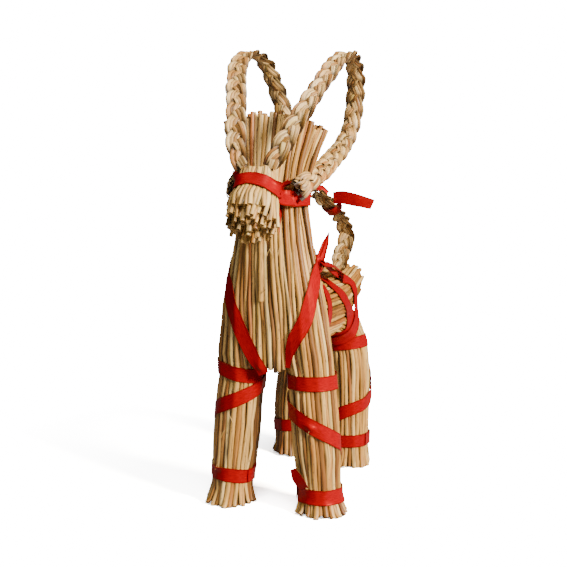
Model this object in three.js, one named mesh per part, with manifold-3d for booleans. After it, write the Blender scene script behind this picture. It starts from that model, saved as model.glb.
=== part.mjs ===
// A Yule goat of rye straw with braided horns and tail, tied with red satin ribbon.
// Millimetres, +Z up. The goat faces -Y, its left side is +X, and it stands on its four cut feet.
// While it is built, X = 0 and Y = 0 lie midway between the front feet; the last lines move the
// goat so that the origin is under the middle of its bounding box.
import * as THREE from 'three';
import { mergeVertices } from 'three/addons/utils/BufferGeometryUtils.js';
import Module from 'manifold-3d';

const wasm = await Module();
wasm.setup();

// ---- driving sizes ---------------------------------------------------------------------------
const GROOVE = 1.3;              // how far the groove between two straws is sunk
const RIDGE_SCATTER = 0.3;       // straws lie this much in or out of the bundle's surface
const LEG_STRAWS = 18;           // straws that show round a leg
const CHEST_STRAWS = 36;
const BARREL_STRAWS = 34;

const LEG_RADIUS = 16.5;
const ANKLE_RADIUS = 15.6;       // pulled in by the ankle ribbon
const FOOT_RADIUS = 18.8;        // the cut ends spread on the ground
const FRONT_FOOT_X = 32;         // front feet, left and right of the middle
const FRONT_KNEE_X = 26.6;
const CROTCH_HEIGHT = 99;        // the chest begins here, above the front legs
const NECK_HEIGHT = 219;         // narrowest place, under the head ribbon

const BARREL_RADIUS = 29;
const BARREL_HEIGHT = 135;
const HIP_Y = 98;                // the lower straws of the barrel turn down behind this
const HIND_LEFT_FOOT = [21, 119];
const HIND_RIGHT_FOOT = [-32, 134];
const TUFT_END_Y = 145;          // cut ends of the barrel's upper straws

const PLAIT_SWING = 4.2;         // strands swing this far to each side of a plait's middle
const PLAIT_DEPTH = 2;           // and this far to its front and back
const STRAND_RADIUS = 2.7;
const PLAIT_PERIOD = 37.5;       // all three strands have crossed and are back in order

const HORN_ROLL = 50;            // the horns' flat sides turn outward beside the neck, in degrees

const RIBBON_WIDTH = 10;
const RIBBON_THICKNESS = 0.5;
const LAYER = 0.95;              // from one layer of ribbon to the next
const CLEARANCE = 0.35;          // between pieces that touch

// ---- materials -------------------------------------------------------------------------------
const straw = new THREE.MeshStandardMaterial({ color: '#d2b27c', roughness: 0.55, metalness: 0 });
const plaitedStraw = new THREE.MeshStandardMaterial({ color: '#d8bd8c', roughness: 0.5, metalness: 0 });
const satin = new THREE.MeshStandardMaterial({ color: '#cc2229', roughness: 0.35, metalness: 0 });

// ---- small tools -----------------------------------------------------------------------------
const v = (x, y, z) => new THREE.Vector3(x, y, z);
const radians = THREE.MathUtils.degToRad;

// The same numbers on every run.
function randomFrom(seed) {
  let state = seed;
  return () => {
    state = (state * 16807) % 2147483647;
    return state / 2147483647;
  };
}

// A closed body through rings of equally many points, each ring counter-clockwise seen from the
// last one. A fan to its middle closes each end. Each side is cut into triangles along one diagonal,
// or along the other for the sides that are named.
function loft(rings, otherDiagonal = []) {
  const sides = rings[0].length;
  const points = rings.flat();
  const faces = [];
  for (let ring = 0; ring + 1 < rings.length; ring++) {
    for (let i = 0; i < sides; i++) {
      const a = ring * sides + i;
      const b = ring * sides + ((i + 1) % sides);
      faces.push(...(otherDiagonal.includes(i)
        ? [a, b, a + sides, b, b + sides, a + sides]
        : [a, b, b + sides, a, b + sides, a + sides]));
    }
  }
  const cap = (ring, first, flip) => {
    const middle = points.length;
    points.push(ring.reduce((sum, p) => sum.add(p), v(0, 0, 0)).divideScalar(sides));
    for (let i = 0; i < sides; i++) {
      const a = first + i;
      const b = first + ((i + 1) % sides);
      faces.push(...(flip ? [middle, b, a] : [middle, a, b]));
    }
  };
  cap(rings[0], 0, true);
  cap(rings.at(-1), (rings.length - 1) * sides, false);
  const geometry = new THREE.BufferGeometry().setFromPoints(points);
  geometry.setIndex(faces);
  return geometry;
}

function solid(geometry) {
  const vertProperties = geometry.attributes.position.array;
  const triVerts = new Uint32Array(geometry.index.array);
  return new wasm.Manifold(new wasm.Mesh({ numProp: 3, vertProperties, triVerts }));
}

function geometryOf(manifold) {
  const mesh = manifold.getMesh();
  const geometry = new THREE.BufferGeometry();
  geometry.setAttribute('position', new THREE.BufferAttribute(mesh.vertProperties, 3));
  geometry.setIndex(new THREE.BufferAttribute(mesh.triVerts, 1));
  return geometry;
}

const join = (...geometries) => geometryOf(geometries.map(solid).reduce((a, b) => a.add(b)));

// ---- bundles of straws -----------------------------------------------------------------------
// A station is one cross-section of a bundle: its middle, its two half-sizes, and how far the
// bundle leans there: 0 runs up, 90 runs forward, -90 runs back.
const station = (at, halfWidth, halfDepth, lean = 0) => ({ at, halfWidth, halfDepth, lean });

function stationPoint({ at, lean }, across, deep, along) {
  const c = Math.cos(radians(lean));
  const s = Math.sin(radians(lean));
  return v(at[0] + across, at[1] + deep * c - along * s, at[2] + deep * s + along * c);
}

// Points on a stadium, evenly spaced round it, moved out or in by sink(i).
function stadium(halfWidth, halfDepth, count, sink) {
  const straight = Math.max(halfWidth - halfDepth, 0);
  const outline = new THREE.Path();
  outline.absarc(straight, 0, halfDepth, -Math.PI / 2, Math.PI / 2);
  outline.absarc(-straight, 0, halfDepth, Math.PI / 2, 1.5 * Math.PI);
  outline.closePath();
  const points = outline.getSpacedPoints(count).slice(0, count);
  return points.map((p, i) => {
    const before = points[(i + count - 1) % count];
    const after = points[(i + 1) % count];
    const out = new THREE.Vector2(after.y - before.y, before.x - after.x).normalize();
    return p.clone().addScaledVector(out, sink(i));
  });
}

// One bundle: every straw is a ridge, and its last ends are cut unevenly by up to "ragged".
// arch(x, y) lifts the last cut as a whole.
function bundle(stations, straws, { seed, ragged = 0, arch = () => 0 }) {
  const random = randomFrom(seed);
  const ridges = Array.from({ length: straws }, () => (random() - 0.5) * 2 * RIDGE_SCATTER);
  const ends = Array.from({ length: 2 * straws }, () => (random() - 0.5) * ragged);
  const sink = i => (i % 2 ? -GROOVE : ridges[i / 2]);
  const ring = (place, scale, end) => {
    const outline = stadium(place.halfWidth, place.halfDepth, 2 * straws, sink);
    return outline.map((p, i) => {
      const lift = end ? ends[i - (i % 2)] + arch(p.x * scale, p.y * scale) : 0;
      return stationPoint(place, p.x * scale, p.y * scale, lift);
    });
  };
  const rings = stations.slice(0, -1).map(place => ring(place, 1, false));
  const uneven = ragged > 0;
  rings.push(ring(stations.at(-1), 1, uneven));
  if (uneven) rings.push(ring(stations.at(-1), 0.55, true));
  return loft(rings);
}

// The same bundle without its grooves, a little larger: what a ribbon lies on.
function hull(stations, sides = 36) {
  return loft(stations.map(place => {
    const outline = stadium(place.halfWidth, place.halfDepth, sides, () => RIDGE_SCATTER);
    return outline.map(p => stationPoint(place, p.x, p.y, 0));
  }));
}

const frontLegStations = side => {
  const middle = height => {
    const share = height / CROTCH_HEIGHT;
    return [side * THREE.MathUtils.lerp(FRONT_FOOT_X, FRONT_KNEE_X, share), 0, height];
  };
  return [
    station(middle(0), FOOT_RADIUS, FOOT_RADIUS),
    station(middle(9), 16.8, 16.8),
    station(middle(20), ANKLE_RADIUS, ANKLE_RADIUS),
    station(middle(38), LEG_RADIUS, LEG_RADIUS),
    station(middle(CROTCH_HEIGHT + 6), LEG_RADIUS, LEG_RADIUS),
  ];
};

const chestStations = [
  station([0, 0, CROTCH_HEIGHT], 44.2, 17.4),
  station([0, 0, 122], 41, 18.2),
  station([0, 0, 146], 36.8, 19),
  station([0, 0, 172], 31.2, 20.6),
  station([0, 0, 197], 26.4, 22),
  station([0, 0, NECK_HEIGHT], 24.4, 21.6),
];
const crownStations = [
  station([0, 1, 233], 27.2, 20.6),
  station([-0.5, 6, 262], 36.6, 18.5),
];
const CROWN_ARCH = 11;           // the middle of the crown stands higher than its corners

const chestHull = hull([...chestStations, ...crownStations]);

function frontBundle() {
  const legs = [-1, 1].map(side => bundle(frontLegStations(side), LEG_STRAWS, { seed: 7 + side }));
  const corner = crownStations[1].halfWidth;
  const arch = (x, y) => CROWN_ARCH * (1 - (x / corner) ** 2) - 0.06 * x - 0.15 * y;
  const trunk = bundle([...chestStations, ...crownStations], CHEST_STRAWS, { seed: 21, ragged: 7, arch });
  return join(trunk, ...legs);
}

// A hind leg starts inside the barrel, bends down behind the hip and flares at the foot.
const hindLegStations = ([footX, footY], side) => {
  const hip = BARREL_HEIGHT - 15;
  return [
    station([footX, footY, 0], FOOT_RADIUS, FOOT_RADIUS),
    station([footX, footY, 9], 16.8, 16.8),
    station([footX, footY, 20], ANKLE_RADIUS, ANKLE_RADIUS),
    station([footX, footY, 38], LEG_RADIUS, LEG_RADIUS),
    station([side * 17.5, footY, 84], LEG_RADIUS, LEG_RADIUS, 2),
    station([side * 17, footY - 2, hip - 18], LEG_RADIUS, LEG_RADIUS, 20),
    station([side * 15, footY - 10, hip - 3], LEG_RADIUS, LEG_RADIUS, 50),
    station([side * 13, footY - 23, hip + 4], LEG_RADIUS - 1.5, LEG_RADIUS - 1.5, 80),
    station([side * 12, footY - 50, hip + 6], LEG_RADIUS - 4, LEG_RADIUS - 4, 90),
  ];
};

const barrelStations = [
  station([0, 9, BARREL_HEIGHT], BARREL_RADIUS, BARREL_RADIUS, -90),
  station([0, 60, BARREL_HEIGHT], BARREL_RADIUS, BARREL_RADIUS, -90),
  station([0, HIP_Y, BARREL_HEIGHT], BARREL_RADIUS, BARREL_RADIUS, -90),
];
const tuftStations = [
  station([0, HIP_Y + 18, BARREL_HEIGHT + 13], 25.5, 15, -94),
  station([0, TUFT_END_Y, BARREL_HEIGHT + 17], 27, 15, -98),
];

const barrelHulls = [
  hull([...barrelStations, ...tuftStations]),
  hull(hindLegStations(HIND_LEFT_FOOT, 1)),
  hull(hindLegStations(HIND_RIGHT_FOOT, -1)),
];

// Where the tail's root sits between the straws of the rump.
const tailSocket = () => hull([
  station([16, 105.5, 158.5], 8, 6, -63),
  station([14.8, 118, 165.5], 8, 6, -63),
  station([13.5, 131, 172], 8, 6, -63),
], 8);

function rearBundle() {
  const barrel = bundle([...barrelStations, ...tuftStations], BARREL_STRAWS, { seed: 5, ragged: 6 });
  const left = bundle(hindLegStations(HIND_LEFT_FOOT, 1), LEG_STRAWS, { seed: 11 });
  const right = bundle(hindLegStations(HIND_RIGHT_FOOT, -1), LEG_STRAWS, { seed: 12 });
  const grown = chestStations.map(place => ({
    ...place,
    halfWidth: place.halfWidth + CLEARANCE,
    halfDepth: place.halfDepth + CLEARANCE,
  }));
  const whole = solid(join(barrel, left, right));
  return geometryOf(whole.subtract(solid(hull(grown))).subtract(solid(tailSocket())));
}

// The muzzle: the loose ends of the horns' straws, bent over and cut off facing the ground.
const muzzleStations = [
  station([0, -29, 232], 12.6, 5.4, 172),
  station([0, -33, 222], 14, 8.5, 155),
  station([0.5, -38, 213], 16, 12.5, 140),
  station([0.5, -42.5, 203], 17, 15, 130),
];
const muzzle = () => bundle(muzzleStations, 22, { seed: 31, ragged: 9 });

// ---- plaits ----------------------------------------------------------------------------------
// How far a plait reaches from its middle in one direction: the outside of three round strands,
// each of which swings along a figure of eight, a third of a period after the one before.
function plaitReach(angle, phase) {
  const direction = new THREE.Vector2(Math.cos(angle), Math.sin(angle));
  const reaches = [0, 1, 2].map(strand => {
    const t = phase + (strand * 2 * Math.PI) / 3;
    const centre = new THREE.Vector2(PLAIT_SWING * Math.sin(t), PLAIT_DEPTH * Math.sin(2 * t));
    const along = direction.dot(centre);
    const inside = STRAND_RADIUS ** 2 - centre.lengthSq() + along ** 2;
    return inside > 0 ? along + Math.sqrt(inside) : 0;
  });
  return Math.max(...reaches, STRAND_RADIUS * 0.8);
}

// A plait along a route, flat across X. It starts tied and thin, turns by "roll" degrees over its
// last third and ends in a brush of loose ends.
function plait(route, { roll = 0, sides = 8 }) {
  const curve = new THREE.CatmullRomCurve3(route.map(p => v(...p)), false, 'centripetal');
  const count = Math.round(curve.getLength() / (PLAIT_PERIOD / 6));
  const rings = curve.getSpacedPoints(count).map((middle, k) => {
    const share = k / count;
    const tangent = curve.getTangentAt(share);
    const turn = radians(roll) * THREE.MathUtils.smoothstep(share, 0.62, 0.9);
    const across = v(1, 0, 0).addScaledVector(tangent, -tangent.x).normalize();
    across.applyAxisAngle(tangent, turn);
    const face = tangent.clone().cross(across);
    const brush = 1 + 0.25 * THREE.MathUtils.smoothstep(k, count - 2, count);
    const tied = 0.78 + 0.22 * THREE.MathUtils.smoothstep(k, 0, 3);
    return Array.from({ length: sides }, (_, i) => {
      const angle = ((i + 0.5) * 2 * Math.PI) / sides;
      const reach = plaitReach(angle, (k * Math.PI) / 3) * brush * tied;
      const arm = across.clone().multiplyScalar(reach * Math.cos(angle));
      return middle.clone().add(arm).addScaledVector(face, reach * Math.sin(angle));
    });
  });
  return loft(rings);
}

// Up from the forehead, back over the neck in a tall loop and down to the side of the neck. The
// two horns were shaped by hand and are not quite a pair.
const hornLeftRoute = [
  [9, -31, 237.5], [16.5, -30, 249], [24.5, -24, 265], [31.5, -12, 281.5], [36.5, 7, 297],
  [39.5, 31, 310.5], [41, 50, 317], [40.5, 67, 313], [38.5, 81, 302], [36, 87.5, 290.5],
  [34.5, 86.5, 278.5], [33.3, 73, 261.5], [32.3, 50, 249.5], [31.8, 28, 239.5],
  [32, 6, 232], [31.4, -9, 226.3], [29.5, -19.5, 222],
];
const hornRightRoute = [
  [-11, -31, 237.5], [-15, -30, 247], [-19.5, -24, 262.5], [-24.5, -12, 280.5],
  [-31.5, 7, 298], [-36.8, 31, 313.5], [-35.8, 49, 321], [-33, 67, 317.5], [-30, 81, 306],
  [-26.5, 87.5, 293.5], [-23, 87, 279], [-24, 74, 262], [-28, 50, 250], [-30.5, 28, 240],
  [-32.8, 6, 232], [-32.8, -9, 226.5], [-30, -19.5, 221.5],
];

// Out of the rump, up and then forward over the back.
const tailRoute = [
  [16, 106.5, 159.5], [14.8, 118, 165.5], [13.5, 131, 172], [15.4, 139, 179], [16.2, 143, 187],
  [16.3, 137, 195.5], [16, 125, 202], [14.6, 111, 208], [12.9, 100, 212.2], [9.5, 90, 217.7],
  [5.4, 80, 223.8],
];

// ---- ribbons ---------------------------------------------------------------------------------
// A ribbon is a flat strip through samples, each a place and the direction its face looks.
function strip(samples) {
  const rings = samples.map(({ at, face }, i) => {
    const before = samples[Math.max(i - 1, 0)].at;
    const after = samples[Math.min(i + 1, samples.length - 1)].at;
    const tangent = after.clone().sub(before).normalize();
    const normal = face.clone().addScaledVector(tangent, -tangent.dot(face)).normalize();
    const across = normal.clone().cross(tangent);
    return [[1, -1], [1, 1], [-1, 1], [-1, -1]].map(([w, t]) => at.clone()
      .addScaledVector(across, (w * RIBBON_WIDTH) / 2)
      .addScaledVector(normal, (t * RIBBON_THICKNESS) / 2));
  });
  // The same diagonal on both wide sides, so that a twisted ribbon keeps its thickness.
  return loft(rings, [3]);
}

// Stops [turn in degrees, place along the axis, layer] laid on a hull. "arm" gives the axis point
// and the outward direction for a turn and a place; "radius" spaces the samples evenly. Both edges
// and the middle of the ribbon have to clear the hull.
function draped(stops, hulls, radius, arm, step = 20) {
  const perDegree = radians(1) * radius;
  const points = stops.map(([turn, along, layer = 0]) => v(turn * perDegree, along, layer * 4));
  const curve = new THREE.CatmullRomCurve3(points, false, 'centripetal');
  const count = Math.ceil(curve.getLength() / (step * perDegree));
  const caster = new THREE.Raycaster();
  const meshes = hulls.map(geometry => new THREE.Mesh(geometry));
  const cast = (turn, along) => {
    const { from, out } = arm(turn, along);
    caster.set(from.clone().addScaledVector(out, 150), out.clone().negate());
    const hit = caster.intersectObjects(meshes)[0];
    return { from, out, point: hit.point, face: hit.face.normal, reach: hit.point.distanceTo(from) };
  };
  const laid = curve.getSpacedPoints(count).map(p => {
    const hits = [0, -0.45, 0.45].map(w => cast(p.x / perDegree, p.y + w * RIBBON_WIDTH));
    const reach = Math.max(...hits.map(hit => hit.reach));
    const at = hits[0].from.clone().addScaledVector(hits[0].out, reach);
    const sag = radius * (1 - Math.cos(radians(step / 2)));
    const stand = CLEARANCE + RIBBON_THICKNESS / 2 + sag + (LAYER * p.z) / 4;
    return { at, face: hits[0].face.clone(), stand };
  });
  return laid.map(({ at, stand }, i) => {
    const face = v(0, 0, 0);
    laid.slice(Math.max(i - 1, 0), i + 2).forEach(near => face.add(near.face));
    face.normalize();
    return { at: at.clone().addScaledVector(face, stand), face };
  });
}

// Turns round an upright bundle: -90 looks to the front, and 0 to +X for side = 1, to -X for -1.
const upright = (middleAt, side = 1) => (turn, height) => ({
  from: middleAt(height),
  out: v(side * Math.cos(radians(turn)), Math.sin(radians(turn)), 0),
});

// One ribbon winds each leg: a turn below the knee, a slanting turn over the front and a turn at
// the ankle. The slanting turn ends low on the +X side for side = 1 and on the -X side for -1. dip
// tips the ankle turn, because the bands were wound by hand.
function legRibbon(stations, side, { knee, high, low, ankle, dip = 0 }) {
  const middleAt = height => {
    const next = stations.findIndex(place => place.at[2] > height);
    const [under, over] = [stations[next - 1].at, stations[next].at];
    return v(...under).lerp(v(...over), (height - under[2]) / (over[2] - under[2]));
  };
  const stops = [
    [-360, knee], [-270, knee], [-180, knee], [-90, knee], [-45, knee, 0.8], [0, knee, 1.2],
    [90, knee - 1, 1.5], [165, high, 1.6], [270, (high + low) / 2, 0.8], [360, low, 0.1],
    [450, (low + ankle) / 2], [540, ankle + dip], [630, ankle], [675, ankle - 0.5 * dip, 0.8],
    [720, ankle - dip, 1.5], [810, ankle, 1.7], [875, ankle + 0.8 * dip, 1.7], [925, ankle + dip, 1.7],
  ];
  return strip(draped(stops, [hull(stations)], LEG_RADIUS, upright(middleAt, side), 30));
}

// The harness goes up the chest from the crotch, over the right shoulder, across the back of the
// neck, past the knot and down over the left shoulder to the crotch again.
const KNOT = v(26.5, 20.5, 172);
const chestArm = upright(height => v(0, 0, height));

function harness() {
  const band = strip(draped([
    [-98, 105], [-122, 120], [-138, 139], [-152, 157], [-172, 171], [-205, 176], [-245, 176],
    [-270, 176], [-300, 176], [-335, 177], [-362, 170], [-385, 151], [-397, 135], [-409, 118],
    [-421, 107],
  ], [chestHull], 30, chestArm, 16));
  const lump = new THREE.IcosahedronGeometry(4.6, 1);
  lump.deleteAttribute('normal');
  lump.deleteAttribute('uv');
  lump.scale(0.9, 0.95, 1.1).translate(KNOT.x, KNOT.y, KNOT.z);
  const end = strip([[0.5, 0.5, 3], [3, 4, 12], [6, 9, 20]].map(([x, y, z]) => ({
    at: KNOT.clone().add(v(x, y, z)),
    face: v(0.5, -1, 0.2),
  })));
  return join(band, mergeVertices(lump), end);
}

// The head ribbon lies round the neck and over the root of the muzzle.
const headRibbon = () => strip(draped([
  [-20, 218], [-42, 218, 2.4], [-58, 220, 3.6], [-76, 226, 1], [-95, 229], [-112, 229, 1],
  [-128, 227, 3], [-145, 225, 2], [-180, 222], [-215, 219, 0.4], [-270, 218, 0.4], [-315, 217.5, 0.6],
  [-345, 217.5, 0.8], [-385, 217, 1.4], [-405, 216, 3.4],
], [chestHull, hull(muzzleStations)], 26, chestArm, 18));

// Turns round the barrel: 0 looks up, 90 to the goat's left.
const barrelArm = (turn, along) => ({
  from: v(0, along, BARREL_HEIGHT),
  out: v(Math.sin(radians(turn)), 0, Math.cos(radians(turn))),
});

// Two loops round the barrel: one close behind the chest, then one that slants back along the
// sides to the hips and passes under the belly in front of the hind legs.
const barrelRibbon = () => strip(draped([
  [50, 37], [90, 37], [180, 36], [270, 36], [335, 38, 0.4], [372, 43, 1], [396, 50, 1],
  [410, 56, 0.5], [431, 70], [444, 79], [459, 88], [472, 95], [488, 97, 0.5], [510, 91],
  [540, 87], [580, 84], [620, 77], [660, 66], [690, 57, 1], [722, 47, 2.2],
], barrelHulls, BARREL_RADIUS, barrelArm));

// The rump ribbon leaves the knot, spans to the side of the barrel, goes round the hips over the
// barrel ribbon and comes back over the right side.
function rumpRibbon() {
  const span = [[5, 8.5, -2], [1.5, 30, -5], [0, 48, -9]].map(([x, y, z]) => ({
    at: KNOT.clone().add(v(x, y, z)),
    face: v(0.75, 0, 0.65),
  }));
  return strip([...span, ...draped([
    [47, 86, 0.5], [57, 99, 0.5], [70, 104, 0.5], [85, 108, 0.4], [99, 111, 0.6], [112, 112, 1.2],
    [126, 107, 1.6], [141, 99.5, 2], [160, 95, 2.2], [180, 93, 2.2], [205, 96, 1.5],
    [228, 106, 0.5], [248, 111, 0.5], [261, 110], [275, 108], [290, 104], [304, 99], [320, 90], [340, 79],
    [356, 70], [372, 61, 0.6],
  ], barrelHulls, BARREL_RADIUS, barrelArm)]);
}

// The tail ribbon: turns round the plait under its tip, with one long end that sticks out.
const TAIL_TIE = v(14, 103.5, 210.6);
const TIE_HALF_WIDTH = 8.6;
const TIE_HALF_DEPTH = 6.6;

function tailRibbon() {
  const axis = v(-0.3, -0.8, 0.45).normalize();
  const side = v(1, 0, 0).addScaledVector(axis, -axis.x).normalize();
  const top = axis.clone().cross(side);
  const count = 20;
  const turns = Array.from({ length: count + 1 }, (_, i) => {
    const angle = radians(200 + (500 * i) / count);
    const grow = (1.2 * LAYER * i) / count;
    const wide = side.clone().multiplyScalar(Math.cos(angle));
    const deep = top.clone().multiplyScalar(Math.sin(angle));
    const at = TAIL_TIE.clone().addScaledVector(wide, TIE_HALF_WIDTH + grow);
    at.addScaledVector(deep, TIE_HALF_DEPTH + grow);
    return { at, face: wide.divideScalar(TIE_HALF_WIDTH).add(deep.divideScalar(TIE_HALF_DEPTH)) };
  });
  const free = [[29, 101, 213], [37, 99, 212], [46, 97, 209.5]].map(p => ({
    at: v(...p),
    face: v(0.2, -0.6, 0.8),
  }));
  return strip([...turns, ...free]);
}

// ---- the goat --------------------------------------------------------------------------------
const goat = new THREE.Group();

function add(name, geometry, material) {
  const mesh = new THREE.Mesh(geometry, material);
  mesh.name = name;
  goat.add(mesh);
}

add('front_bundle', frontBundle(), straw);
add('rear_bundle', rearBundle(), straw);
add('muzzle_bundle', muzzle(), straw);
add('horn_right', plait(hornRightRoute, { roll: -HORN_ROLL }), plaitedStraw);
add('horn_left', plait(hornLeftRoute, { roll: HORN_ROLL }), plaitedStraw);
add('tail_braid', plait(tailRoute, {}), plaitedStraw);

add('head_ribbon', headRibbon(), satin);
add('harness_ribbon', harness(), satin);
add('barrel_ribbon', barrelRibbon(), satin);
add('rump_ribbon', rumpRibbon(), satin);
add('tail_ribbon', tailRibbon(), satin);
add('front_right_leg_ribbon', legRibbon(
  frontLegStations(-1), -1, { knee: 91.5, high: 86, low: 64, ankle: 23.5, dip: -1.5 }), satin);
add('front_left_leg_ribbon', legRibbon(
  frontLegStations(1), 1, { knee: 92.5, high: 81, low: 50, ankle: 14.5, dip: 0.3 }), satin);
add('hind_right_leg_ribbon', legRibbon(
  hindLegStations(HIND_RIGHT_FOOT, -1), -1, { knee: 92, high: 84, low: 56, ankle: 27, dip: 2 }), satin);
add('hind_left_leg_ribbon', legRibbon(
  hindLegStations(HIND_LEFT_FOOT, 1), -1, { knee: 96, high: 58, low: 32, ankle: 22, dip: 1 }), satin);

const box = new THREE.Box3().setFromObject(goat);
const middle = box.getCenter(v(0, 0, 0));
goat.position.set(-middle.x, -middle.y, -box.min.z);

export default goat;
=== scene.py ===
"""A Yule goat of rye straw: bundled body and legs, plaited horns and tail, red satin ribbon.

Lengths are in millimetres until a piece is made, when they become metres in the part's frame. While
the goat is laid out, X = 0 and Y = 0 lie midway between its front feet, it faces -Y and +X is its
left.
"""
import math
import random
from collections import namedtuple

import bmesh
import bpy
import numpy as np
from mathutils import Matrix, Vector
from mathutils.bvhtree import BVHTree


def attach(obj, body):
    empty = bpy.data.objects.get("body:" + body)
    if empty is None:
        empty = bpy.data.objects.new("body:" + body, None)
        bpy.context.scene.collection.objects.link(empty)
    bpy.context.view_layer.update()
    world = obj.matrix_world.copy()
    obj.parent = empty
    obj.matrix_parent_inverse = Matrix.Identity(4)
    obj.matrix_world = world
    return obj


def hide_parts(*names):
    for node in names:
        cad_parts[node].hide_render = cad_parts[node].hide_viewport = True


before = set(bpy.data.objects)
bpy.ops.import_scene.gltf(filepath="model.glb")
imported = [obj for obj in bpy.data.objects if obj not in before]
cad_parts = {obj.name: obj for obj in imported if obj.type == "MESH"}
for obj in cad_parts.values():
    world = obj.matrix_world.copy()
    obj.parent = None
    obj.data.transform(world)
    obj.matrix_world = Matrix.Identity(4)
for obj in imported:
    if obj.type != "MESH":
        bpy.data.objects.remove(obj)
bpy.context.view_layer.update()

MM = 0.001
FRONT_FEET_Y = -50.0          # the front feet stand this far ahead of the part's origin

# ---- sizes ---------------------------------------------------------------------------------------
STRAW = 1.75                  # radius of an ordinary rye straw
LEG_STRAWS = 30               # straws that show round a leg
TALL_LEG_STRAWS = 22          # of a front leg's straws, those that run on up to the crown
LEG_INNER_STRAWS = 20         # the layer that shows in their gaps, coloured dark brown as painted shade
BARREL_STRAWS = 52
INNER_ROW = 2.75 * STRAW      # the second layer of straws lies this far in
SPREAD = 0.28                 # straws of the outer layer are this much thicker or thinner
CROTCH = 99.0                 # the legs part below this height

# The front legs: height and radius. The foot is spread, the ankle pulled in by its ribbon.
LEG_LEVELS = [
    (0, 18.2), (6, 16.4), (14, 14.6), (24, 14.9), (38, 16.3), (60, 16.7), (80, 16.5), (96, 16.3),
]
LEG_TOP = (111, 15.8)         # where a front leg's inner straws end, inside the chest
# How far out the foot and the knee stand: right leg, left leg.
FRONT_FOOT_X = {-1: 33.2, 1: 35.2}
FRONT_KNEE_X = {-1: 24.0, 1: 27.6}

# A station is a cross-section of a bundle: its middle, half width, half depth, and its lean, where
# 0 runs up, 90 forward and -90 back.
TRUNK = [
    ((1, 0, 110), 42.2, 17.8, 0), ((0.8, 0, 126), 39.6, 18.4, 0), ((0, 0, 148), 36.4, 19.2, 0),
    ((0, 0, 172), 31.2, 20.6, 0), ((0, 0, 197), 26.4, 22.0, 0), ((0, 0, 217), 24.2, 21.6, 0),
    ((0, 1, 234), 27.4, 20.6, 0), ((-0.5, 6, 262), 36.8, 18.5, 0),
]
CROWN_ARCH = 11.0             # the middle of the crown stands this much higher than its corners
CROWN_HALF_WIDTH = 36.6
CROWN_TILTS = (0.06, 0.15)    # and it falls by this much to the left and to the back

BARREL_HEIGHT = 135.0
BARREL = [
    ((0, 8, 135), 29, 29, -90), ((0, 34, 135), 29.2, 29, -90), ((0, 64, 135), 29.2, 29, -90),
    ((0, 92, 136), 29.6, 27.5, -90), ((0, 116, 144), 29.5, 18, -95), ((0, 143, 150), 26, 12, -101),
]
HIND_LEFT_FOOT = (21, 119)
HIND_RIGHT_FOOT = (-32, 134)


def hind_leg(foot, side):
    """From the foot up, over the hip and forward into the barrel."""
    x, y = foot
    return [
        ((x, y, 0), 17.4, 17.4, 0), ((x, y, 9), 16.2, 16.2, 0), ((x, y, 20), 15.6, 15.6, 0),
        ((x, y, 38), 16.6, 16.6, 0), ((x * 0.85 + side * 3, y, 61), 16.6, 16.6, 0),
        ((x * 0.55 + side * 8.5, y, 84), 16.4, 16.4, 2),
        ((side * 18.5, y - 2, 102), 16.4, 16.4, 20), ((side * 15, y - 10, 117), 16.2, 16.2, 50),
        ((side * 13, y - 23, 124), 15, 15, 80), ((side * 12, y - 46, 126), 12.5, 12.5, 90),
    ]


MUZZLE = [
    ((0, -27, 237), 11.5, 4.6, 176), ((0, -29.5, 230), 12.6, 5.6, 170),
    ((0, -33, 221), 13.8, 9, 155), ((0, -38, 212), 15.8, 12.6, 142),
    ((0, -43.5, 201), 16.6, 14.6, 134),
]

# ---- plait sizes and routes ----------------------------------------------------------------------
PLAIT_PERIOD = 37.5           # all three strands have crossed and are back in order
PLAIT_SWING = 3.5             # a strand swings this far to each side
PLAIT_DEPTH = 1.6             # and this far to the front and back
PLAIT_STEP = 2.2              # from one point of a strand to the next
# The flat straws of one strand: place across it, lift from its middle and half width.
PLAIT_LANES = [(-3.1, 0.1, 1.35), (-1.05, 0.35, 1.35), (1.05, 0.3, 1.35), (3.1, 0.15, 1.3),
               (-2.2, -0.6, 1.6), (0, -0.5, 1.6), (2.2, -0.6, 1.6)]
HORN_ROLL = 50.0              # the horns' flat sides turn outward beside the neck, in degrees

HORN_LEFT = [
    (9, -31, 237.5), (16.5, -30, 249), (24.2, -24, 265), (31, -12, 282), (35.5, 8, 299),
    (37.6, 32, 313.5), (38.3, 50, 318.5), (37.5, 66, 314), (35.2, 80, 302), (32.8, 86.5, 290.5),
    (31.5, 85.5, 278.5), (30.4, 73, 261.5), (29.6, 50, 249.5), (29.3, 28, 240),
    (29.3, 6, 234), (28, -8, 229.5), (24.5, -19.5, 224),
]
HORN_RIGHT = [
    (-11, -31, 237.5), (-14, -30, 247), (-17.3, -24, 262.5), (-22, -12, 280.5),
    (-29.8, 7, 299.5), (-35.8, 31, 316.5), (-35.8, 49, 323), (-33.4, 67, 319), (-31, 81, 306),
    (-28, 87.5, 293.5), (-24.5, 87, 279), (-24.5, 74, 262), (-28, 50, 250), (-30, 28, 240),
    (-31, 5, 232.5), (-28, -8, 227), (-23.5, -17, 222.5),
]
TAIL = [
    (15, 106.5, 159.5), (13.2, 118, 165.5), (11, 131, 172), (11.6, 139, 179), (11.2, 143, 187),
    (10.8, 137, 195.5), (10.8, 125, 202), (10.8, 112, 207), (10.2, 101, 211), (7.5, 94, 215.5),
    (4, 88, 220.5),
]

# ---- ribbon sizes --------------------------------------------------------------------------------
RIBBON_WIDTH = 10.0
RIBBON_THICKNESS = 0.3
LAYER = 0.8                   # from one layer of ribbon to the next
RIBBON_STEP = 1.4             # from one row of a ribbon's points to the next
KNOT = np.array([26.5, 20.5, 172.0])


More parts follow.
